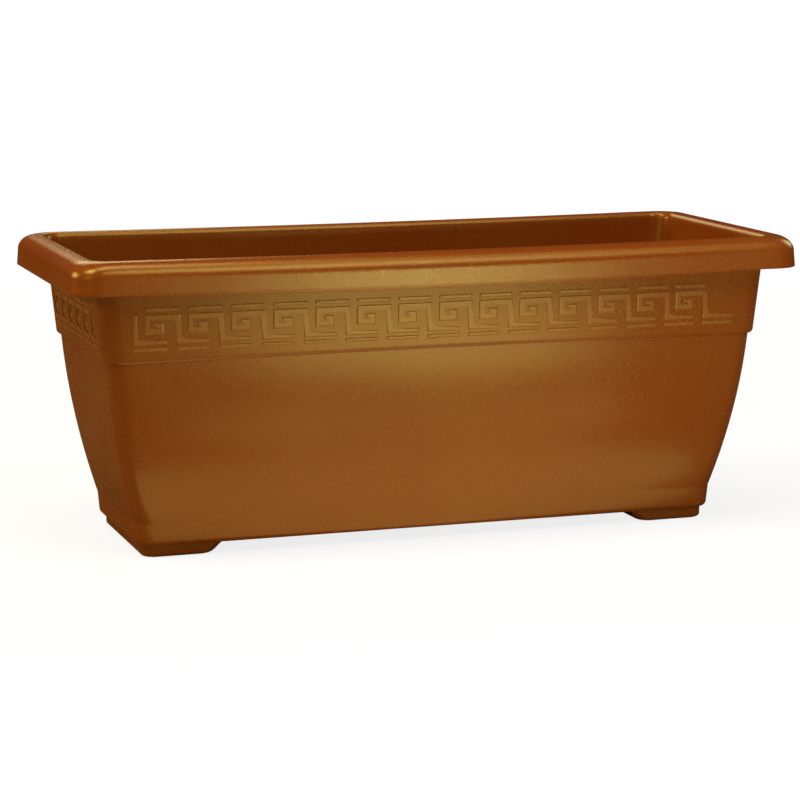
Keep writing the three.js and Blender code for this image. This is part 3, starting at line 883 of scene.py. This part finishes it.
class PLANTER_OT_key(bpy.types.Operator):
    """Raises the Greek key on the four faces of the frieze band"""

    bl_idname = "planter.key"
    bl_label = "Greek key"

    def execute(self, context):
        k = context.scene.planter_key
        form = TroughForm(context.scene.planter_trough)
        s = form.s
        tree = key_tree()
        finish = context.scene.planter_finish
        # Painted highlight: the key's material is painted paler in place of the sheen on its raised
        # lines.
        material = bronze_plastic("rubbed_bronze_plastic", finish, KEY_PAINTED_SHEEN)
        flat_x = s.length - 2 * (s.frieze_inset_end + s.frieze_draft_end / 2 + s.frieze_corner)
        flat_y = s.width - 2 * (s.frieze_inset_side + s.frieze_draft_side / 2 + s.frieze_corner)
        side = FriezeFace(
            k.pitch_side,
            flat_x - 2 * k.margin_side,
            k.shift_side,
            s.width / 2,
            s.frieze_inset_side,
            s.frieze_draft_side,
            0,
        )
        end = FriezeFace(
            k.pitch_end,
            flat_y - 2 * k.margin_end,
            0.0,
            s.length / 2,
            s.frieze_inset_end,
            s.frieze_draft_end,
            -math.pi / 2,
        )
        faces = (side, side._replace(turn=math.pi), end, end._replace(turn=math.pi / 2))
        build = bmesh.new()
        for face in faces:
            build.from_mesh(key_panel(k, form, tree, material, face))
        mesh = bpy.data.meshes.new("greek_key")
        build.to_mesh(mesh)
        build.free()
        for polygon in mesh.polygons:
            polygon.use_smooth = False
        key = show(mesh, "greek_key")
        give_material(key, material)
        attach(key, "trough")
        return {"FINISHED"}


# ---------------------------------------------------------------------------------------------
# The reservoir grid

FLOOR_LEGS_X = (0.060, 0.150)
PAN_LEGS_X = 0.210
CUT_REACH = 0.004
SKIRT_EASE = 0.0003
INNER_EASE = 0.001
LEG_EASE = 0.001
LEG_FLARE_START = 0.004
LEG_FLARE = 0.003
LEG_TOP_IN_PLATE = 0.6
NEARLY_ROUND = 0.999  # a slot's end is just short of a half circle, so no two points meet


def slot_tree():
    """Cuts two rows of slots through a plate."""
    tree, given = new_tree(
        "slotted_plate",
        {
            "Plate": "Geometry",
            "Cutter": "Object",
            "Columns": "Int",
            "Length": "Float",
            "Row Spacing": "Float",
            "Height": "Float",
            "Material": "Material",
        },
    )
    points = tree.nodes.new("GeometryNodeMeshGrid")
    points.inputs["Vertices Y"].default_value = 2
    wire(tree, given["Columns"], points.inputs["Vertices X"])
    wire(tree, given["Length"], points.inputs["Size X"])
    wire(tree, given["Row Spacing"], points.inputs["Size Y"])
    lift = tree.nodes.new("GeometryNodeTransform")
    up = tree.nodes.new("ShaderNodeCombineXYZ")
    wire(tree, given["Height"], up.inputs["Z"])
    wire(tree, points.outputs["Mesh"], lift.inputs["Geometry"])
    wire(tree, up.outputs[0], lift.inputs["Translation"])
    cutters = realized(tree, instances(tree, lift.outputs["Geometry"], given["Cutter"]))
    cut = tree.nodes.new("GeometryNodeMeshBoolean")
    cut.operation = "DIFFERENCE"
    cut.solver = "EXACT"
    wire(tree, given["Plate"], cut.inputs["Mesh 1"])
    wire(tree, cutters, cut.inputs["Mesh 2"])
    return end_tree(tree, cut.outputs["Mesh"], given["Material"])


class PLANTER_OT_grid(bpy.types.Operator):
    """Builds the slotted reservoir grid on its tapered legs"""

    bl_idname = "planter.grid"
    bl_label = "Reservoir grid"

    def plate(self, s, g, half_x, half_y):
        """Mesh of the plate with its turned-down edge and softened rim."""

        def ring(inset, z):
            outline = rounded_rectangle(half_x - inset, half_y - inset, g.corner - inset, 10)
            return at_height(outline, z)

        under = g.top - g.plate
        skirt = g.top - g.skirt
        rings = [
            ring(s.wall + INNER_EASE, under),
            ring(s.wall, under - INNER_EASE),
            ring(s.wall, skirt),
            ring(SKIRT_EASE, skirt),
            ring(0, skirt + SKIRT_EASE),
        ]
        for a in arc(5):
            rings.append(ring(g.edge * (1 - math.cos(a)), g.top - g.edge * (1 - math.sin(a))))
        return loft("plate", rings)

    def leg(self, g, low, high):
        """Mesh of a tapered leg that flares into the plate."""
        under = g.top - g.plate
        profile = [
            (g.leg_foot - LEG_EASE, low),
            (g.leg_foot - LEG_EASE * 0.3, low + LEG_EASE * 0.3),
            (g.leg_foot, low + LEG_EASE),
            (g.leg_top, high - LEG_FLARE_START),
            (g.leg_top + INNER_EASE, under - INNER_EASE),
            (g.leg_top + LEG_FLARE, under),
            (g.leg_top + LEG_FLARE, high),
        ]
        return round_post("leg", profile, 28)

    def execute(self, context):
        g = context.scene.planter_grid
        form = TroughForm(context.scene.planter_trough)
        s = form.s
        finish = context.scene.planter_finish
        seat = context.scene.planter_bungs.seat
        end, side = form.outer_inset(g.top - g.skirt)
        half_x = s.length / 2 - end - s.wall - g.clearance
        half_y = s.width / 2 - side - s.wall - g.clearance
        reach = half_x - g.filler_edge - g.filler_width - g.slot_margin - g.slot_width / 2
        columns = 2 * int(reach / g.slot_pitch + 0.5)
        radius = g.slot_width / 2
        outline = rounded_rectangle(radius, g.slot_length / 2, radius * NEARLY_ROUND, 6)
        cutter = prism("slot", outline, -CUT_REACH, CUT_REACH)
        material = satin_plastic("black_satin", finish.grid_black, finish)
        values = {
            "Cutter": cutter,
            "Columns": columns,
            "Length": (columns - 1) * g.slot_pitch,
            "Row Spacing": g.slot_rows,
            "Height": g.top,
            "Material": material,
        }
        slotted = run_tree(self.plate(s, g, half_x, half_y), slot_tree(), values)
        bpy.data.objects.remove(cutter)
        filler_x = half_x - g.filler_edge - g.filler_width / 2
        outline = rounded_rectangle(g.filler_width / 2, g.filler_length / 2, g.filler_radius, 8)
        low, high = g.top - CUT_REACH, g.top + CUT_REACH
        fillers = [prism("filler", outline, low, high, x) for x in (-filler_x, filler_x)]
        board = combine(show(slotted, "board"), fillers, "DIFFERENCE")
        slotted = board.data
        bpy.data.objects.remove(board)
        build = bmesh.new()
        build.from_mesh(slotted)
        feet = [(x, form.floor) for x in FLOOR_LEGS_X] + [(PAN_LEGS_X, s.wall)]
        for x, floor in feet:
            for place_x in (-x, x):
                for place_y in (-g.leg_spacing / 2, g.leg_spacing / 2):
                    leg = self.leg(g, floor + seat, g.top - g.plate * LEG_TOP_IN_PLATE)
                    leg.transform(Matrix.Translation((place_x, place_y, 0)))
                    build.from_mesh(leg)
        mesh = bpy.data.meshes.new("grid")
        build.to_mesh(mesh)
        build.free()
        grid = settle(show(mesh, "grid"), "reservoir_false_floor")
        give_material(grid, material)
        hand_over(grid, "reservoir_grid", "reservoir_grid")
        return {"FINISHED"}


# ---------------------------------------------------------------------------------------------
# The drain bungs

SOFT_EDGE = 0.0006
TAB_STEPS = 16
EYE_REACH = 0.005


class PLANTER_OT_bungs(bpy.types.Operator):
    """Builds the flanged drain bungs with their pierced pull tabs"""

    bl_idname = "planter.bungs"
    bl_label = "Drain bungs"

    def cup(self, b, wall, top):
        """Object of the hollow stem under its flange, whose underside lies on the floor."""
        stem = b.hole - b.clearance
        tip = stem - b.taper
        bottom = -wall - b.tip
        fine, half, wide = SOFT_EDGE * 0.3, SOFT_EDGE * 0.5, SOFT_EDGE * 1.6
        profile = [
            (stem - b.wall, b.seat - b.wall),
            (tip - b.wall, bottom + fine),
            (tip - b.wall + fine, bottom),
            (tip - SOFT_EDGE, bottom),
            (tip, bottom + SOFT_EDGE),
            (stem, b.seat),
            (b.flange_radius - half, b.seat),
            (b.flange_radius, b.seat + half),
            (b.flange_radius, top - wide),
            (b.flange_radius - half, top - half),
            (b.flange_radius - wide, top),
        ]
        return show(round_post("cup", profile, 48), "cup")

    def tab(self, b, top):
        """Object of the upright pull tab with its eye, its foot sunk in the flange."""
        radius = b.tab_width / 2
        rise = b.tab_height - radius
        outline = [(-radius, -b.flange / 2), (radius, -b.flange / 2)]
        for i in range(TAB_STEPS + 1):
            turn = math.pi * i / TAB_STEPS
            outline.append((radius * math.cos(turn), rise + radius * math.sin(turn)))
        tab = prism("fin", outline, -b.tab_thickness / 2, b.tab_thickness / 2)
        eye = round_post("eye", [(b.tab_hole, -EYE_REACH), (b.tab_hole, EYE_REACH)], 24)
        eye.transform(Matrix.Translation((0, rise, 0)))
        combine(tab, [show(eye, "eye")], "DIFFERENCE")
        upright = Matrix.Rotation(math.pi / 2, 4, "X")
        tab.data.transform(Matrix.Translation((0, 0, top)) @ upright)
        return tab

    def execute(self, context):
        b = context.scene.planter_bungs
        form = TroughForm(context.scene.planter_trough)
        finish = context.scene.planter_finish
        top = b.seat + b.flange
        cup = self.cup(b, form.s.wall, top)
        combine(cup, [self.tab(b, top)], "UNION")
        soften = cup.modifiers.new("soften", "BEVEL")
        soften.width = SOFT_EDGE / 2
        soften.segments = 2
        soften.limit_method = "ANGLE"
        soften.angle_limit = math.radians(50)
        one = settle(cup, "bung")
        give_material(one, satin_plastic("brown_satin", finish.bung_brown, finish))
        for index, (x, y) in enumerate(drain_centres(b), start=1):
            mesh = one.data.copy()
            mesh.transform(Matrix.Translation((x, y, form.floor)))
            bung = show(mesh, f"pull_bung_{index}")
            hand_over(bung, f"drain_bung_{index}", f"drain_bung_{index}")
        bpy.data.objects.remove(one)
        return {"FINISHED"}


# ---------------------------------------------------------------------------------------------
# Finishes

PALE_GAIN = 1.6  # the dark plastics' paler tone over their base


def noise(tree, place, scale, detail, roughness=0.5):
    texture = tree.nodes.new("ShaderNodeTexNoise")
    texture.inputs["Scale"].default_value = scale
    texture.inputs["Detail"].default_value = detail
    texture.inputs["Roughness"].default_value = roughness
    wire(tree, place, texture.inputs["Vector"])
    return texture.outputs[0]


def bump(tree, height, strength, distance):
    node = tree.nodes.new("ShaderNodeBump")
    node.inputs["Strength"].default_value = strength
    node.inputs["Distance"].default_value = distance
    wire(tree, height, node.inputs["Height"])
    return node


def remap(tree, value, given, wanted):
    """A value's given range stretched to the wanted one."""
    node = tree.nodes.new("ShaderNodeMapRange")
    node.inputs["From Min"].default_value, node.inputs["From Max"].default_value = given
    node.inputs["To Min"].default_value, node.inputs["To Max"].default_value = wanted
    wire(tree, value, node.inputs["Value"])
    return node.outputs[0]


def two_tone(tree, share_of_second, first, second):
    node = tree.nodes.new("ShaderNodeMix")
    node.data_type = "RGBA"
    factor, start, end = node.inputs[0], node.inputs[6], node.inputs[7]
    start.default_value = (*first, 1)
    end.default_value = (*second, 1)
    wire(tree, share_of_second, factor)
    return node.outputs[2]


def plastic(name, depth, scale, grain_range, gloss_range):
    """Moulded plastic with a fine grain over a slow ripple, whose gloss varies with the grain."""
    material = bpy.data.materials.new(name)
    material.use_nodes = True
    tree = material.node_tree
    shader = tree.nodes["Principled BSDF"].inputs
    place = tree.nodes.new("ShaderNodeTexCoord").outputs["Object"]
    grain = noise(tree, place, scale=scale, detail=3.0, roughness=0.6)
    wave = noise(tree, place, scale=16.0, detail=1.0)
    ripple = bump(tree, wave, strength=0.25, distance=0.0006)
    skin = bump(tree, grain, strength=1.0, distance=depth)
    wire(tree, ripple.outputs["Normal"], skin.inputs["Normal"])
    wire(tree, skin.outputs["Normal"], shader["Normal"])
    wire(tree, remap(tree, grain, grain_range, gloss_range), shader["Roughness"])
    return material, tree, shader, place


def bronze_plastic(name, finish, painted_sheen):
    """Bronze brown polypropylene, paler at random where it is dust-bloomed, and paler all over by
    its painted sheen share, a painted highlight.
    """
    material, tree, shader, place = plastic(
        name,
        depth=finish.grain,
        scale=620.0,
        grain_range=(0.3, 0.7),
        gloss_range=(finish.roughness - 0.05, finish.roughness + 0.07),
    )
    cloud = noise(tree, place, scale=7.0, detail=5.0)
    # Share of the paler tone: random dust bloom, raised by the painted sheen share, a painted
    # highlight on the key's lines.
    dust_and_sheen_share = remap(tree, cloud, given=(0.35, 0.70), wanted=(painted_sheen, painted_sheen + 0.30))
    wire(tree, two_tone(tree, dust_and_sheen_share, finish.bronze, finish.dust_and_sheen_tone), shader["Base Color"])
    shader["IOR"].default_value = 1.5
    shader["Specular IOR Level"].default_value = 0.5
    shader["Specular Tint"].default_value = (*finish.sheen_tint, 1)
    return material


def satin_plastic(name, base, finish):
    """Plain dark satin plastic for the hidden fittings."""
    material, tree, shader, place = plastic(
        name,
        depth=finish.grain * 0.6,
        scale=900.0,
        grain_range=(0, 1),
        gloss_range=(0.42, 0.58),
    )
    cloud = noise(tree, place, scale=18.0, detail=4.0)
    pale = [channel * PALE_GAIN for channel in base]
    wire(tree, two_tone(tree, cloud, base, pale), shader["Base Color"])
    return material


# ---------------------------------------------------------------------------------------------
# The stage

GROUND_GLOW = 1.03
GROUND_FADE = (0.6, 2.0)  # metres from the planter over which the shadow's ground fades out
GLOW_SHARE = (0.8, 1.0)
SEEN_GROUND = (0.84, 0.84, 0.90)
LIT_GROUND = (0.45, 0.45, 0.45)
MIRRORED_GROUND = (0.12, 0.07, 0.03)


def matt(tree, tone):
    shader = tree.nodes.new("ShaderNodeBsdfDiffuse")
    shader.inputs["Color"].default_value = (*tone, 1)
    return shader.outputs[0]


def white_light(tree, kind, strength):
    light = tree.nodes.new(kind)
    light.inputs["Color"].default_value = (1, 1, 1, 1)
    light.inputs["Strength"].default_value = strength
    return light.outputs[0]


def blend(tree, factor, first, second):
    mixed = tree.nodes.new("ShaderNodeMixShader")
    wire(tree, factor, mixed.inputs["Fac"])
    wire(tree, first, mixed.inputs[1])
    wire(tree, second, mixed.inputs[2])
    return mixed.outputs[0]


def pale_ground(name):
    """White ground that keeps the planter's faint shadow, and is a dim table in its gloss."""
    material = bpy.data.materials.new(name)
    material.use_nodes = True
    tree = material.node_tree
    tree.nodes.clear()
    out = tree.nodes.new("ShaderNodeOutputMaterial")
    away = tree.nodes.new("ShaderNodeVectorMath")
    away.operation = "LENGTH"
    wire(tree, tree.nodes.new("ShaderNodeTexCoord").outputs["Object"], away.inputs[0])
    glowing = remap(tree, away.outputs["Value"], GROUND_FADE, GLOW_SHARE)
    glow = white_light(tree, "ShaderNodeEmission", GROUND_GLOW)
    seen = blend(tree, glowing, matt(tree, SEEN_GROUND), glow)
    ray = tree.nodes.new("ShaderNodeLightPath").outputs
    lit, mirrored = matt(tree, LIT_GROUND), matt(tree, MIRRORED_GROUND)
    unseen = blend(tree, ray["Is Glossy Ray"], lit, mirrored)
    wire(tree, blend(tree, ray["Is Camera Ray"], unseen, seen), out.inputs["Surface"])
    return material


def white_world(level):
    """Even, faint surroundings that show white to the camera and through anything clear."""
    world = bpy.data.worlds.new("surroundings")
    world.use_nodes = True
    tree = world.node_tree
    tree.nodes.clear()
    out = tree.nodes.new("ShaderNodeOutputWorld")
    ray = tree.nodes.new("ShaderNodeLightPath").outputs
    seen = tree.nodes.new("ShaderNodeMath")
    seen.operation = "MAXIMUM"
    wire(tree, ray["Is Camera Ray"], seen.inputs[0])
    wire(tree, ray["Is Transmission Ray"], seen.inputs[1])
    faint = white_light(tree, "ShaderNodeBackground", level)
    white = white_light(tree, "ShaderNodeBackground", 1.0)
    wire(tree, blend(tree, seen.outputs[0], faint, white), out.inputs["Surface"])
    return world


class Softbox(NamedTuple):
    """A lamp that faces the planter, its angles in degrees, taken as the camera's are."""

    name: str
    azimuth: float
    elevation: float
    power: float
    colour: tuple = (1.0, 1.0, 1.0)
    distance: float = 2.5
    width: float = 0.9
    height: float = 0.9


class GroundPanel(NamedTuple):
    """An oval lamp that lies on the ground and faces up, as a lit table before the planter does."""

    name: str
    x: float
    y: float
    width: float
    depth: float
    power: float


WARM = (1.0, 0.92, 0.72)
SOFTBOXES = (
    Softbox("high_front", 19, 45, 17.5),
    Softbox("high_right", 40, 62, 6.4, WARM),
    Softbox("high_left", -70, 60, 36.0, (1.0, 0.90, 0.60)),
    Softbox("top", 0, 85, 20.0, WARM),
    Softbox("back", 180, 30, 7.5, (1.0, 0.90, 0.50)),
    Softbox("left", -50, 20, 5.5, WARM),
    Softbox("left_end", -110, 20, 29.0, (1.0, 0.84, 0.35)),
    Softbox("right_end", 112, 25, 10.0, (1.0, 0.90, 0.55)),
    Softbox("low_front", 16.5, 2, 4.2, (0.80, 0.84, 1.0), 1.5, 0.3, 0.25),
)
GROUND_PANELS = (
    GroundPanel("table_far", 0.17, -0.666, 0.38, 0.38, 2.3),
    GroundPanel("table_middle", 0.05, -0.29, 0.42, 0.16, 0.18),
    GroundPanel("table_near", -0.02, -0.145, 0.56, 0.13, 0.19),
)
LAMP_AIM = Vector((0, 0, 0.12))
PANEL_HEIGHT = 0.004
SENSOR_WIDTH = 36
CLIP = (0.05, 50)
GROUND_HALF = 40
GROUND_CORNER = 1
GROUND_DEPTH = 0.02


def direction(azimuth, elevation):
    """Unit vector from the planter: azimuth 0 is out of its front, and + is to its right."""
    level = math.cos(elevation)
    return Vector((math.sin(azimuth) * level, -math.cos(azimuth) * level, math.sin(elevation)))


def look_from(thing, away):
    """Turns a lamp or the camera to look back along a direction."""
    thing.rotation_mode = "QUATERNION"
    thing.rotation_quaternion = (-away).to_track_quat("-Z", "Y")


def area_lamp(name, shape, size, power, colour=(1.0, 1.0, 1.0)):
    lamp = bpy.data.lights.new(name, "AREA")
    lamp.shape = shape
    lamp.size, lamp.size_y = size
    lamp.energy = power
    lamp.color = colour
    thing = show(lamp, name)
    thing.visible_camera = False
    return thing


def hang_softbox(box, share_of_power):
    power = box.power * share_of_power
    thing = area_lamp(box.name, "RECTANGLE", (box.width, box.height), power, box.colour)
    away = direction(math.radians(box.azimuth), math.radians(box.elevation))
    thing.location = LAMP_AIM + away * box.distance
    look_from(thing, away)


def lay_panel(panel, share_of_power):
    power = panel.power * share_of_power
    thing = area_lamp(panel.name, "ELLIPSE", (panel.width, panel.depth), power)
    thing.location = (panel.x, panel.y, PANEL_HEIGHT)
    thing.rotation_euler = (math.pi, 0, 0)


class PLANTER_OT_stage(bpy.types.Operator):
    """Sets the camera, the lamps, the surroundings and the pale ground"""

    bl_idname = "planter.stage"
    bl_label = "Stage"

    def execute(self, context):
        scene = context.scene
        t = scene.planter_stage
        camera = show(bpy.data.cameras.new("camera"), "camera")
        back = direction(t.azimuth, t.elevation)
        camera.location = Vector((t.look_x, 0, t.look_z)) + back * t.distance
        look_from(camera, back)
        camera.data.sensor_width = SENSOR_WIDTH
        camera.data.lens = t.lens
        camera.data.clip_start, camera.data.clip_end = CLIP
        scene.camera = camera
        scene.view_settings.view_transform = "Standard"
        scene.world = white_world(t.world_light)
        outline = rounded_rectangle(GROUND_HALF, GROUND_HALF, GROUND_CORNER, 8)
        floor = prism("floor", outline, -GROUND_DEPTH, 0)
        floor.data.materials.append(pale_ground("pale_ground"))
        for box in SOFTBOXES:
            hang_softbox(box, t.lamp_light)
        for panel in GROUND_PANELS:
            lay_panel(panel, t.lamp_light)
        return {"FINISHED"}


# ---------------------------------------------------------------------------------------------
# Panel and registration


class PLANTER_PT_panel(bpy.types.Panel):
    """Lists the steps that dress the planter"""

    bl_label = "Window Box Planter"
    bl_idname = "PLANTER_PT_panel"
    bl_space_type = "VIEW_3D"
    bl_region_type = "UI"
    bl_category = "Planter"

    def draw(self, context):
        for step in STEPS:
            self.layout.operator(step.bl_idname)


STEPS = (PLANTER_OT_trough, PLANTER_OT_key, PLANTER_OT_grid, PLANTER_OT_bungs, PLANTER_OT_stage)
GROUPS = {
    "planter_trough": TroughSizes,
    "planter_key": KeySizes,
    "planter_grid": GridSizes,
    "planter_bungs": BungSizes,
    "planter_finish": FinishSettings,
    "planter_stage": StageSettings,
}


def register():
    for name, group in GROUPS.items():
        bpy.utils.register_class(group)
        setattr(bpy.types.Scene, name, PointerProperty(type=group))
    for step in STEPS:
        bpy.utils.register_class(step)
    bpy.utils.register_class(PLANTER_PT_panel)


def unregister():
    bpy.utils.unregister_class(PLANTER_PT_panel)
    for step in reversed(STEPS):
        bpy.utils.unregister_class(step)
    for name, group in GROUPS.items():
        delattr(bpy.types.Scene, name)
        bpy.utils.unregister_class(group)


def main():
    register()
    for step in STEPS:
        area, name = step.bl_idname.split(".")
        getattr(getattr(bpy.ops, area), name)()


if __name__ == "__main__":
    main()
